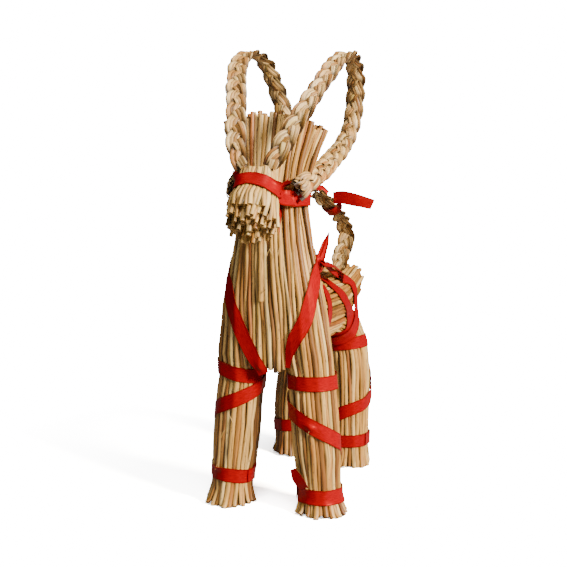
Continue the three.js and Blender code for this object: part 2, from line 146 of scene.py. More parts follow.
# ---- small tools ---------------------------------------------------------------------------------
def to_row(points):
    """Layout millimetres to the part's frame in metres."""
    return (np.asarray(points, float) + (0, FRONT_FEET_Y, 0)) * MM


def unit(vectors):
    vectors = np.asarray(vectors, float)
    return vectors / np.maximum(np.linalg.norm(vectors, axis=-1, keepdims=True), 1e-9)


def smooth_step(value, low, high):
    share = np.clip((value - low) / (high - low), 0, 1)
    return share * share * (3 - 2 * share)


SPAN_POINTS = 10              # close points in each span of a smooth route


def smooth_route(points):
    """A smooth curve through points, as close points and their distances along it."""
    p = np.asarray(points, float)
    span = np.linalg.norm(np.diff(p, axis=0), axis=1)[:, None]
    slope = np.diff(p, axis=0) / span
    inner = (slope[:-1] * span[1:] + slope[1:] * span[:-1]) / (span[1:] + span[:-1])
    heading = np.vstack([slope[:1], inner, slope[-1:]])
    t = np.linspace(0, 1, SPAN_POINTS, endpoint=False)[:, None]
    line = []
    for i, length in enumerate(span):
        here = p[i] * (2 * t**3 - 3 * t**2 + 1) + p[i + 1] * (3 * t**2 - 2 * t**3)
        turn = heading[i] * (t**3 - 2 * t**2 + t) + heading[i + 1] * (t**3 - t**2)
        line.append(here + length * turn)
    line = np.vstack(line + [p[-1:]])
    far = np.concatenate([[0], np.cumsum(np.linalg.norm(np.diff(line, axis=0), axis=1))])
    return line, far


def along_route(route, distances):
    line, far = route
    return np.stack([np.interp(distances, far, line[:, axis]) for axis in range(3)], axis=1)


def stadium(half_width, half_depth, share):
    """A point on a stadium; share runs once round it from the front middle by way of +X."""
    straight = max(half_width - half_depth, 0)
    quarter = straight + math.pi * half_depth / 2
    far = (share % 1) * 4 * quarter
    side = 1 if far <= 2 * quarter else -1
    far = far if side > 0 else 4 * quarter - far
    if far < straight:
        return side * far, -half_depth
    if far > 2 * quarter - straight:
        return side * (2 * quarter - far), half_depth
    turn = (far - straight) / half_depth - math.pi / 2
    return side * (straight + half_depth * math.cos(turn)), half_depth * math.sin(turn)


def station_point(station, across, deep):
    middle, _, _, lean = station
    c, s = math.cos(math.radians(lean)), math.sin(math.radians(lean))
    return np.array(middle, float) + (across, deep * c, deep * s)


# ---- materials -----------------------------------------------------------------------------------
def linear(color):
    """An sRGB hex colour as linear RGBA."""
    channels = [int(color[i:i + 2], 16) / 255 for i in (1, 3, 5)]
    return [c / 12.92 if c <= 0.04045 else ((c + 0.055) / 1.055) ** 2.4 for c in channels] + [1]


def new_material(name):
    material = bpy.data.materials.new(name)
    material.use_nodes = True
    return material, material.node_tree.nodes["Principled BSDF"]


def node(material, kind, links=None, **settings):
    """Adds a node. Settings name its properties or its input sockets, and links its inputs."""
    tree = material.node_tree
    made = tree.nodes.new("ShaderNode" + kind)
    for name, value in settings.items():
        if hasattr(made, name):
            setattr(made, name, value)
        else:
            made.inputs[name.replace("_", " ")].default_value = value
    for name, source in (links or {}).items():
        tree.links.new(source, made.inputs[name])
    return made


def ramp(material, source, stops):
    """A colour ramp: stops are (position, hex colour)."""
    made = node(material, "ValToRGB", {"Fac": source})
    elements = made.color_ramp.elements
    while len(elements) < len(stops):
        elements.new(0.5)
    for element, (position, color) in zip(elements, stops):
        element.position = position
        element.color = linear(color)
    return made.outputs["Color"]


def rye_straw(name, stops, roughness):
    """Dried rye straw: a smooth waxy tube with fine lengthwise fibres, so it glints in a narrow
    line; each straw has its own shade, with brown flecks and darker, duller cut ends. Painted shade
    darkens the hollows of the cut ends, the flanks that lie against neighbouring straws and a
    plaited strand where it runs under the others."""
    material, shader = new_material(name)
    tint = node(material, "Attribute", attribute_name="tint").outputs["Fac"]
    grain = node(material, "Attribute", attribute_name="grain").outputs["Vector"]
    age_and_shade = node(material, "Attribute", attribute_name="age_and_shade").outputs["Fac"]
    own = ramp(material, tint, stops)

    # Fibres 0.4 mm apart and 20 mm long: the coordinates are millimetres on each straw.
    stretch = node(material, "Mapping", {"Vector": grain}, Scale=(1.6, 1.6, 0.035))
    fibre = node(material, "TexNoise", {"Vector": stretch.outputs[0]}, Scale=1.5, Detail=5,
                 Roughness=0.65)
    streak = node(material, "MapRange", {"Value": fibre.outputs["Fac"]}, From_Min=0.32,
                  From_Max=0.68, To_Min=0.58, To_Max=1.2)
    streaked = node(material, "VectorMath", {0: own, "Scale": streak.outputs[0]},
                    operation="SCALE")

    # Patches 8 mm wide and 45 mm long where the straw weathered to orange or green-grey.
    patch_place = node(material, "Mapping", {"Vector": grain}, Scale=(0.12, 0.12, 0.022))
    patch = node(material, "TexNoise", {"Vector": patch_place.outputs[0]}, Scale=1.0, Detail=2)
    warm = node(material, "MapRange", {"Value": patch.outputs["Fac"]}, From_Min=0.54, From_Max=0.76)
    weathered = node(material, "Mix", {"Factor": warm.outputs[0], 6: streaked.outputs[0]},
                     data_type="RGBA", blend_type="MULTIPLY")
    weathered.inputs[7].default_value = linear("#e0b184")
    cool = node(material, "MapRange", {"Value": patch.outputs["Fac"]}, From_Min=0.44, From_Max=0.3)
    greyed = node(material, "Mix", {"Factor": cool.outputs[0], 6: weathered.outputs[2]},
                  data_type="RGBA", blend_type="MULTIPLY")
    greyed.inputs[7].default_value = linear("#d3d0a6")

    # Flecks 1 mm wide and 3 mm long.
    fleck_place = node(material, "Mapping", {"Vector": grain}, Scale=(1.1, 1.1, 0.32))
    flecks = node(material, "TexNoise", {"Vector": fleck_place.outputs[0]}, Scale=1.0, Detail=3)
    fleck = node(material, "MapRange", {"Value": flecks.outputs["Fac"]}, From_Min=0.62,
                 From_Max=0.71, To_Max=0.75)
    flecked = node(material, "Mix", {"Factor": fleck.outputs[0], 6: greyed.outputs[2]},
                   data_type="RGBA")
    flecked.inputs[7].default_value = linear("#6b431c")

    # Fine dark splits along the grain, 33 mm long.
    split_place = node(material, "Mapping", {"Vector": grain}, Scale=(0.85, 0.85, 0.03))
    splits = node(material, "TexNoise", {"Vector": split_place.outputs[0]}, Scale=1.0, Detail=1)
    split = node(material, "MapRange", {"Value": splits.outputs["Fac"]}, From_Min=0.6,
                 From_Max=0.66, To_Max=0.65)
    creased = node(material, "Mix", {"Factor": split.outputs[0], 6: flecked.outputs[2]},
                   data_type="RGBA")
    creased.inputs[7].default_value = linear("#5a3a1c")
    # Mixed toward dark brown: the brown ends of some straws, and painted shade in the hollows of
    # cut ends, on the flanks against neighbours and where a plaited strand runs under the others.
    aged_and_shaded = node(material, "Mix", {"Factor": age_and_shade, 6: creased.outputs[2]}, data_type="RGBA")
    aged_and_shaded.inputs[7].default_value = linear("#2c1608")
    material.node_tree.links.new(aged_and_shaded.outputs[2], shader.inputs["Base Color"])

    gloss = node(material, "MapRange", {"Value": fibre.outputs["Fac"]}, To_Min=roughness - 0.1,
                 To_Max=roughness + 0.12)
    material.node_tree.links.new(gloss.outputs[0], shader.inputs["Roughness"])
    bump = node(material, "Bump", {"Height": fibre.outputs["Fac"]}, Strength=0.35,
                Distance=0.35 * MM)
    material.node_tree.links.new(bump.outputs[0], shader.inputs["Normal"])
    shader.inputs["IOR"].default_value = 1.48
    return material


def satin_ribbon():
    """Polyester satin ribbon: long floats of thread give it a soft wide highlight, the selvedges
    are a little darker and firmer, and where it is crumpled the highlight breaks up."""
    material, shader = new_material("woven_red_satin")
    cloth = node(material, "UVMap", uv_map="ribbon").outputs["UV"]
    apart = node(material, "SeparateXYZ", {"Vector": cloth})

    # Threads 0.35 mm apart; real satin is finer, and this is as fine as shows.
    thread_place = node(material, "Mapping", {"Vector": cloth}, Scale=(0.25, 2.8, 1))
    threads = node(material, "TexNoise", {"Vector": thread_place.outputs[0]}, Scale=1.0, Detail=3)
    shade = ramp(material, threads.outputs["Fac"],
                 [(0.3, "#780005"), (0.5, "#8e000a"), (0.72, "#a4000e")])

    # The selvedges, 0.7 mm wide.
    middle = node(material, "Math", {0: apart.outputs["Y"]}, operation="ABSOLUTE")
    edge = node(material, "MapRange", {"Value": middle.outputs[0]},
                From_Min=RIBBON_WIDTH / 2 - 0.9, From_Max=RIBBON_WIDTH / 2 - 0.5)
    edged = node(material, "Mix", {"Factor": edge.outputs[0], 6: shade}, data_type="RGBA")
    edged.inputs[7].default_value = linear("#780003")
    material.node_tree.links.new(edged.outputs[2], shader.inputs["Base Color"])

    soft = node(material, "TexNoise", {"Vector": cloth}, Scale=0.22, Detail=3)
    gloss = node(material, "MapRange", {"Value": soft.outputs["Fac"]}, To_Min=0.3, To_Max=0.5)
    material.node_tree.links.new(gloss.outputs[0], shader.inputs["Roughness"])
    weave = node(material, "Bump", {"Height": threads.outputs["Fac"]}, Strength=0.25,
                 Distance=0.1 * MM)
    ridge = node(material, "Bump", {"Height": edge.outputs[0], "Normal": weave.outputs[0]},
                 Strength=0.5, Distance=0.15 * MM)
    material.node_tree.links.new(ridge.outputs[0], shader.inputs["Normal"])
    shader.inputs["IOR"].default_value = 1.5
    shader.inputs["Specular Tint"].default_value = linear("#ff5a48")
    shader.inputs["Sheen Weight"].default_value = 0.05
    shader.inputs["Sheen Roughness"].default_value = 0.35
    shader.inputs["Sheen Tint"].default_value = linear("#ff2a1a")
    return material


LOOSE_STRAW = rye_straw("dried_rye_straw", [
    (0.0, "#6f4a1e"), (0.15, "#966228"), (0.35, "#b67f3a"), (0.55, "#ca984a"), (0.75, "#dcb064"),
    (0.92, "#ecca84"), (1.0, "#b86c2c")], 0.42)
PLAITED_STRAW = rye_straw("flattened_rye_straw", [
    (0.0, "#9c6a32"), (0.2, "#c08e4c"), (0.45, "#d8ac68"), (0.75, "#e8c585"), (1.0, "#f2d79f")],
    0.42)
SATIN = satin_ribbon()


# ---- straws --------------------------------------------------------------------------------------
# A straight straw: its points, how many rings it has, the ring under each point, how far on each
# point is to the next ring and how far out it is, and the mesh.
StrawForm = namedtuple("StrawForm", "local rings low part reach mesh")


def straw_form(sides, rings):
    """A straight straw, one unit thick, with a ring at each whole height and a pit in each end."""
    bm = bmesh.new()
    top = rings - 1
    profile = [(0, 0.6), (0.52, 0.55), (0.72, 0)] + [(1, ring) for ring in range(rings)]
    profile += [(0.72, top), (0.52, top - 0.55), (0, top - 0.6)]
    verts = [bm.verts.new((reach, 0, height)) for reach, height in profile]
    edges = [bm.edges.new(pair) for pair in zip(verts, verts[1:])]
    bmesh.ops.spin(bm, geom=verts + edges, axis=(0, 0, 1), cent=(0, 0, 0), angle=2 * math.pi,
                   steps=sides, use_merge=True)
    bmesh.ops.remove_doubles(bm, verts=bm.verts[:], dist=1e-4)
    bmesh.ops.recalc_face_normals(bm, faces=bm.faces[:])
    mesh = bpy.data.meshes.new("straw_form")
    bm.to_mesh(mesh)
    bm.free()
    local = np.array([v.co for v in mesh.vertices])
    low = np.clip(np.floor(local[:, 2]).astype(int), 0, rings - 2)
    part = (local[:, 2] - low)[:, None]
    return StrawForm(local, rings, low, part, np.hypot(local[:, :1], local[:, 1:2]), mesh)


class Straws:
    """Many straws gathered into one piece."""

    def __init__(self, seed):
        self.bm = bmesh.new()
        self.places, self.grains, self.tints, self.ages = [], [], [], []
        self.chance = random.Random(seed)

    def lay(self, form, points, radius, facing, flat=1.0, tint=None, ages=(0.0, 0.0),
            joint=True, shade=0.0, depth=None, pit=0.8):
        """One straw along points. facing is where one of its sides looks, once or at each point;
        flat squeezes it that way, ages are how brown its two ends are, and shade how much painted
        shade darkens the flanks that lie against its neighbours, or the edges of a flattened straw.
        depth says where it runs above (1) or under (-1) the others and puts painted shade where it
        runs under, and pit is how much painted shade darkens its hollow."""
        chance = self.chance
        points = np.asarray(points, float)
        route = smooth_route(points)
        far = route[1]
        length = far[-1]
        local, rings, low, part, reach, _ = form
        tip = min(2.6, length / 8)
        stops = np.concatenate([[0], np.linspace(tip, length - tip, rings - 2), [length]])
        thick = np.full(rings, radius) * (1 + 0.04 * np.sin(stops / 9 + chance.uniform(0, 6)))
        if joint and length > 60:
            # A joint of the stalk: two rings drawn together, with a small swelling.
            at = min(max(int(chance.uniform(0.1, 0.9) * rings), 2), rings - 4)
            stops[at + 1] = stops[at] + 1.2
            thick[at:at + 2] *= 1.14
        facing = np.broadcast_to(facing, points.shape)
        given = far[::SPAN_POINTS][:len(points)]
        facing = np.stack([np.interp(stops, given, facing[:, k]) for k in range(3)], axis=1)
        heading = unit(along_route(route, stops + 0.6) - along_route(route, stops - 0.6))
        side = unit(np.cross(heading, facing))
        front = np.cross(side, heading)

        def between(values):
            return values[low] * (1 - part) + values[low + 1] * part

        x, y = local[:, :1], local[:, 1:2]
        width = between(thick[:, None])
        place = between(along_route(route, stops))
        place = place + width * (x * between(side) + flat * y * between(front))
        way = between(stops[:, None])
        # Painted shade in the hollow of a cut end, and a little on its rim.
        age_and_shade = pit * (reach < 0.6) + 0.15 * ((reach > 0.6) & (reach < 0.8))
        age_and_shade = (age_and_shade + ages[0] * (1 - smooth_step(way, 1, 9))
               + ages[1] * smooth_step(way - length, -9, -1))
        # Painted shade on the flanks that lie against the neighbours, and on the edges of a
        # flattened straw.
        painted_flank_shade = smooth_step(-y, -0.75, 0.15) if flat == 1 else smooth_step(abs(x), 0.7, 1)
        age_and_shade = age_and_shade + shade * painted_flank_shade * (reach > 0.9)
        # Painted shade where a strand runs under the others.
        if depth is not None:
            under = -np.sign(y) * between(np.interp(stops, given, depth)[:, None])
            age_and_shade = age_and_shade + 0.85 * smooth_step(under, -0.5, 0.6)
        offset = np.array([chance.uniform(0, 400) for _ in range(3)])
        self.bm.from_mesh(form.mesh)
        self.places.append(place)
        self.grains.append(np.hstack([x * width, y * width, way]) + offset)
        # This darkening holds the brown ends and painted shade in the hollow, on the flanks and
        # under other strands.
        self.ages.append(np.clip(age_and_shade[:, 0], 0, 1))
        if tint is None:
            tint = chance.betavariate(1.5, 1.3)
        self.tints.append(np.full(len(local), tint))

    def tree(self):
        """What a ribbon is laid on."""
        self.bm.verts.index_update()
        faces = [[v.index for v in face.verts] for face in self.bm.faces]
        return BVHTree.FromPolygons(np.vstack(self.places).tolist(), faces)

    def piece(self, name, cad_node, slot, material):
        mesh = bpy.data.meshes.new(name)
        self.bm.to_mesh(mesh)
        mesh.vertices.foreach_set("co", to_row(np.vstack(self.places)).ravel())
        for key, parts in (("tint", self.tints), ("age_and_shade", self.ages)):
            layer = mesh.attributes.new(key, "FLOAT", "POINT")
            layer.data.foreach_set("value", np.concatenate(parts))
        layer = mesh.attributes.new("grain", "FLOAT_VECTOR", "POINT")
        layer.data.foreach_set("vector", np.vstack(self.grains).ravel())
        return finished(name, mesh, cad_node, material)


def finished(name, mesh, cad_node, material, crease=50):
    mesh.update()
    mesh.shade_smooth()
    mesh.set_sharp_from_angle(angle=math.radians(crease))
    mesh.materials.append(material)
    piece = bpy.data.objects.new(name, mesh)
    bpy.context.scene.collection.objects.link(piece)
    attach(piece, "root")
    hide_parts(cad_node)
    return piece


LONG = straw_form(9, 30)
HALF = straw_form(8, 14)
SHORT = straw_form(7, 5)
FLAT = straw_form(8, 110)
FLAT_TAIL = straw_form(8, 48)


def spaced(chance, count, scatter=0.2):
    """Shares of a way for straws of uneven thickness, and the thickness of each."""
    widths = [1 + chance.uniform(-scatter, scatter) for _ in range(count)]
    ends = np.cumsum(widths)
    return [((end - width / 2) / ends[-1], width) for end, width in zip(ends, widths)]


def bundle_way(stations, share, inset, chance, sway=0.6):
    """The way of a straw through a bundle, and where outside is along it: away from a second way
    5 mm further in."""
    insets = np.broadcast_to(inset, len(stations))
    rim, deep = (np.array([station_point(s, *stadium(max(s[1] - i, 0.6), max(s[2] - i, 0.5), share))
                           for s, i in zip(stations, insets + more)]) for more in (0, 5))
    wander = np.array([[chance.uniform(-sway, sway) for _ in range(3)] for _ in rim])
    return rim + wander, unit(rim - deep + 1e-6)


def front_leg(side):
    """Stations of a front leg from the ground up into the chest."""
    foot, knee = FRONT_FOOT_X[side], FRONT_KNEE_X[side]
    return [((side * (foot + (knee - foot) * min(height / CROTCH, 1)), 0, height),
             radius, radius, 0) for height, radius in LEG_LEVELS + [LEG_TOP]]


def crown_top(point, before, chance):
    """Where a straw of the crown is cut off."""
    x, y = point[:2]
    lift = (CROWN_ARCH * (1 - (x / CROWN_HALF_WIDTH) ** 2) - CROWN_TILTS[0] * x
            - CROWN_TILTS[1] * y + chance.uniform(-3.5, 3.5))
    return point + unit(point - before) * max(lift, 1.5)


def spread_foot(points, outs, chance):
    """The cut end on the ground: some straws stand out, some are a little short."""
    points[0] += outs[0] * chance.choice([-0.6, 0, 0.8, 1.6, 3.4]) * chance.random()
    points[0, :2] += [chance.uniform(-1.1, 1.1), chance.uniform(-1.1, 1.1)]
    points[0, 2] = max(0.15, chance.uniform(-2, 2.8))


def trunk_straw(straws, form, points, outs, radius, shade, **more):
    top = crown_top(points[-1], points[-2], straws.chance)
    points, outs = np.vstack([points, top]), np.vstack([outs, outs[-1:]])
    straws.lay(form, points, radius, outs, shade=shade, **more)


def front_bundle():
    """Front legs, chest, neck and crown."""
    straws = Straws(11)
    chance = straws.chance
    for side in (-1, 1):
        leg = front_leg(side)
        # Straws of the leg's outer sides go on up the chest and fan out in the crown.
        for share, width in spaced(chance, TALL_LEG_STRAWS, SPREAD):
            radius = STRAW * width * 1.04
            inset = radius + chance.uniform(-0.6, 0.9)
            low, low_outs = bundle_way(leg[:-1], 0.25 + side * (share - 0.5) * 0.72
                                       + (0 if side > 0 else 0.5), inset, chance)
            # In the narrow neck every third straw is squeezed inward.
            squeezed = chance.choice([0, 0, 2.4])
            insets = [inset + squeezed * share_in for share_in in (0, 0, 0, 0.4, 0.8, 1, 0.8, 0.2)]
            high, high_outs = bundle_way(TRUNK, side * (0.07 + 0.36 * share), insets, chance)
            points, outs = np.vstack([low, high]), np.vstack([low_outs, high_outs])
            spread_foot(points, outs, chance)
            trunk_straw(straws, LONG, points, outs, radius, 0.8)
        # The leg's inner straws end inside the chest.
        for share, width in spaced(chance, LEG_STRAWS - TALL_LEG_STRAWS, SPREAD):
            way, outs = bundle_way(leg, 0.25 + side * (0.5 + (share - 0.5) * 0.26)
                                   + (0 if side > 0 else 0.5), STRAW + 0.2, chance)
            spread_foot(way, outs, chance)
            straws.lay(HALF, way, STRAW * width, outs, shade=0.8)
        # The middle of the chest and back: cut off at the crotch.
        for back in (False, True):
            for share, width in spaced(chance, 4):
                from_middle = 0.068 * share
                turn = side * (0.5 - from_middle if back else from_middle)
                radius = STRAW * width * 1.03
                points, outs = bundle_way(TRUNK, turn, radius + chance.uniform(-0.4, 0.6), chance)
                end = points[0] + unit(points[0] - points[1]) * (10 + chance.uniform(-1.2, 1.5))
                points, outs = np.vstack([end, points]), np.vstack([outs[:1], outs])
                trunk_straw(straws, LONG, points, outs, radius, 0.8, ages=(0.35, 0))
        for share, width in spaced(chance, LEG_INNER_STRAWS):
            way, outs = bundle_way(leg, share, INNER_ROW, chance)
            way[0, 2] = 0.3
            # The inner layer is coloured dark brown: painted shade in the gaps between the outer
            # straws.
            straws.lay(HALF, way, STRAW * width, outs, shade=0.8, tint=0.06)
        filling(leg[2::-1], straws, 0.5, (5 * STRAW, 7 * STRAW))
    # Rows further in, which show at the hem between the legs and at the crown.
    hem = [((0, 0, 101), 43.5, 17.4, 0)] + TRUNK
    for inset in (INNER_ROW, 4.7 * STRAW):
        for share, width in spaced(chance, 42 - int(inset)):
            points, outs = bundle_way(hem, share, inset, chance, 0.9)
            trunk_straw(straws, HALF, points, outs, STRAW * width, 0.5, tint=0.3, ages=(0.4, 0))
    for inset in (6.6 * STRAW, 8.3 * STRAW):
        for share, width in spaced(chance, 12 if inset < 16 else 6):
            points, outs = bundle_way(TRUNK[-2:], share, inset, chance)
            trunk_straw(straws, SHORT, points, outs, STRAW * width, 0, joint=False)
    splinters(straws)
    return straws


def splinters(straws):
    """Torn fibres and short broken ends on the chest and legs."""
    chance = straws.chance
    for x, y, z, lean in ((3, -22.3, 178, 0.9), (8, -22.2, 177, -0.5), (11, -21.8, 179, 0.5),
                          (-3.5, -20.4, 150, 1.4), (-33, -17.6, 50, 0.8), (-24, -17, 62, -0.8),
                          (-38, -16.5, 27, 0.9), (31, -17.4, 58, 0.7)):
        foot = np.array([x, y, z], float)
        points = [foot, foot + (lean * 1.6, -0.7, 3.2), foot + (lean * 4.2, -1.6, 6.4)]
        straws.lay(SHORT, points, chance.uniform(0.22, 0.4), (0.2, -1, 0.1), 0.5, tint=0.8,
                   joint=False)
    # One straw on the chest ends early, and its bright cut end shows.
    points, outs = bundle_way(TRUNK[2:6], -0.012, 0.9, chance, 0.3)
    straws.lay(HALF, points, 2.3, outs, shade=0.3, tint=0.6)


def filling(stations, straws, ragged, rows):
    """Straws inside a bundle, row inside row, that show only at their cut ends."""
    chance = straws.chance
    for inset in rows:
        half_width = stations[-1][1] - inset
        half_depth = max(stations[-1][2] - inset, 0.5)
        around = 2 * math.pi * half_depth + 4 * max(half_width - half_depth, 0)
        for share, width in spaced(chance, max(int(around / (2.05 * STRAW)), 2)):
            points, outs = bundle_way(stations, share, inset, chance, 0.3)
            points[-1] += unit(points[-1] - points[-2]) * chance.uniform(-ragged, ragged)
            straws.lay(SHORT, points, STRAW * width, outs, joint=False)


def rear_bundle():
    """The barrel and the hind legs."""
    straws = Straws(23)
    chance = straws.chance
    for share, width in spaced(chance, BARREL_STRAWS, SPREAD):
        radius = STRAW * width * 1.03
        points, outs = bundle_way(BARREL, share, radius + chance.uniform(-0.4, 0.6), chance)
        points[-1] += unit(points[-1] - points[-2]) * chance.uniform(-9, 3.5)
        points[-1] += outs[-1] * chance.uniform(-2.4, 2.2)
        straws.lay(LONG, points, radius, outs, shade=0.8)
    for share, width in spaced(chance, BARREL_STRAWS - 10):
        points, outs = bundle_way(BARREL, share, 2.8 * STRAW, chance)
        points[-1] += unit(points[-1] - points[-2]) * chance.uniform(-9, 2)
        # The inner layer is coloured dark brown: painted shade in the gaps between the outer
        # straws.
        straws.lay(HALF, points, STRAW * width, outs, shade=0.8, tint=0.06)
    filling(BARREL[-2:], straws, 6, (5 * STRAW, 6.4 * STRAW))
    for foot, side in ((HIND_LEFT_FOOT, 1), (HIND_RIGHT_FOOT, -1)):
        stations = hind_leg(foot, side)
        for share, width in spaced(chance, LEG_STRAWS, SPREAD):
            radius = STRAW * width * 1.04
            points, outs = bundle_way(stations, share, radius + chance.uniform(-0.4, 0.6), chance)
            spread_foot(points, outs, chance)
            straws.lay(LONG, points, radius, outs, shade=0.8)
        for share, width in spaced(chance, LEG_INNER_STRAWS):
            points, outs = bundle_way(stations, share, INNER_ROW, chance)
            points[0, 2] = 0.3
            # The inner layer is coloured dark brown: painted shade in the gaps between the outer
            # straws.
            straws.lay(HALF, points, STRAW * width, outs, shade=0.8, tint=0.06)
        filling(stations[2::-1], straws, 0.5, (5 * STRAW, 7 * STRAW))
    return straws


def muzzle_bundle():
    """The loose ends of the horns' straws, bent over and cut off facing forward and down."""
    straws = Straws(37)
    chance = straws.chance
    for scale in (1, 0.84, 0.69, 0.54, 0.4, 0.26, 0.12):
        around = 2 * math.pi * 14 * scale
        for share, width in spaced(chance, max(int(around / 2.75), 3), 0.25):
            stations = [(s[0], s[1] * scale, max(s[2] * scale, 0.4), s[3]) for s in MUZZLE]
            points, outs = bundle_way(stations, share, 0, chance, 0.5)
            end = unit(points[-1] - points[-2]) * (5.5 * (1 - scale ** 2) + chance.uniform(-6, 3))
            points[-1] += end + [chance.uniform(-2, 2) for _ in range(3)]
            points[-2] += end * 0.4
            brown = chance.choice([0, 0, 0, 0.15, 0.35])
            straws.lay(HALF, points, 1.55 * width, outs, chance.uniform(0.6, 1), joint=False,
                       ages=(0, brown), shade=0.4, tint=chance.uniform(0.55, 0.97), pit=0.35)
    return straws


# ---- plaits --------------------------------------------------------------------------------------
def plait(straws, route_points, form, roll, brush_age):
    """Three strands of flattened straws, each swinging along a figure of eight a third of a
    period after the one before. The plait is flat across X and turns by roll beside the neck,
    and brush_age is how brown its loose end is."""
    chance = straws.chance
    route = smooth_route(route_points)
    length = route[1][-1]
    steps = np.linspace(0, length, int(length / PLAIT_STEP))
    middle = along_route(route, steps)
    heading = unit(along_route(route, steps + 1) - along_route(route, steps - 1))
    across = unit(np.array([1.0, 0, 0]) - heading * heading[:, :1])
    face = np.cross(heading, across)
    turn = math.radians(roll) * smooth_step(steps / length, 0.62, 0.9)[:, None]
    across, face = (across * np.cos(turn) + face * np.sin(turn),
                    face * np.cos(turn) - across * np.sin(turn))
    tied = 0.72 + 0.28 * smooth_step(steps, 0, 18)[:, None]
    brush = smooth_step(steps, length - 9, length)[:, None]
    for strand in range(3):
        phase = (2 * math.pi * (steps / PLAIT_PERIOD + strand / 3))[:, None]
        swing = PLAIT_SWING * np.sin(phase) * tied * (1 - 0.3 * brush)
        depth = PLAIT_DEPTH * np.sin(2 * phase) * tied
        line = middle + across * swing + face * depth
        along = unit(np.gradient(line, axis=0))
        # At each edge of the plait the strand tips over, so its flat side looks outward.
        tip = unit(face + 0.4 * across * np.sin(phase) * np.abs(np.sin(phase)))
        side = unit(np.cross(tip, along))
        out = np.cross(along, side)
        for lane, lift, wide in PLAIT_LANES:
            wobble = chance.uniform(-0.25, 0.25) + 0.2 * np.sin(
                steps / chance.uniform(6, 11) + chance.uniform(0, 6))[:, None]
            points = line + side * (lane + wobble) * tied * (1 + 0.6 * brush) + out * (
                lift + chance.uniform(-0.2, 0.2))
            tilted = unit(out + side * chance.uniform(-0.45, 0.45))
            points[-1] += along[-1] * chance.uniform(-3, 2.5)
            points[-1] += side[-1] * chance.uniform(-0.8, 0.8) + out[-1] * chance.uniform(-0.8, 0.8)
            # Painted shade on the edges of each flattened straw and where its strand runs under the
            # others.
            straws.lay(form, points, wide * chance.uniform(0.9, 1.1), tilted, 0.26,
                       tint=chance.uniform(0, 0.85), ages=(0, brush_age), joint=False,
                       shade=0.75, depth=np.sin(2 * phase)[:, 0], pit=0.5)


# ---- ribbons -------------------------------------------------------------------------------------
def hull_tree(*bodies):
    """Smooth skins over bundles, to aim the ribbons by."""
    verts, faces = [], []
    for stations in bodies:
        form = straw_form(40, len(stations))
        first = len(verts)
        for (x, y, _), low, (part,), (reach,) in zip(form.local, form.low, form.part, form.reach):
            share = math.atan2(x, -y) / (2 * math.pi)
            points = [station_point(s, *stadium(s[1] * reach, max(s[2] * reach, 0.01), share))
                      for s in stations[low:low + 2]]
            verts.append(points[0] * (1 - part) + points[1] * part)
        faces += [[first + i for i in p.vertices] for p in form.mesh.polygons]
    return BVHTree.FromPolygons([list(v) for v in verts], faces)


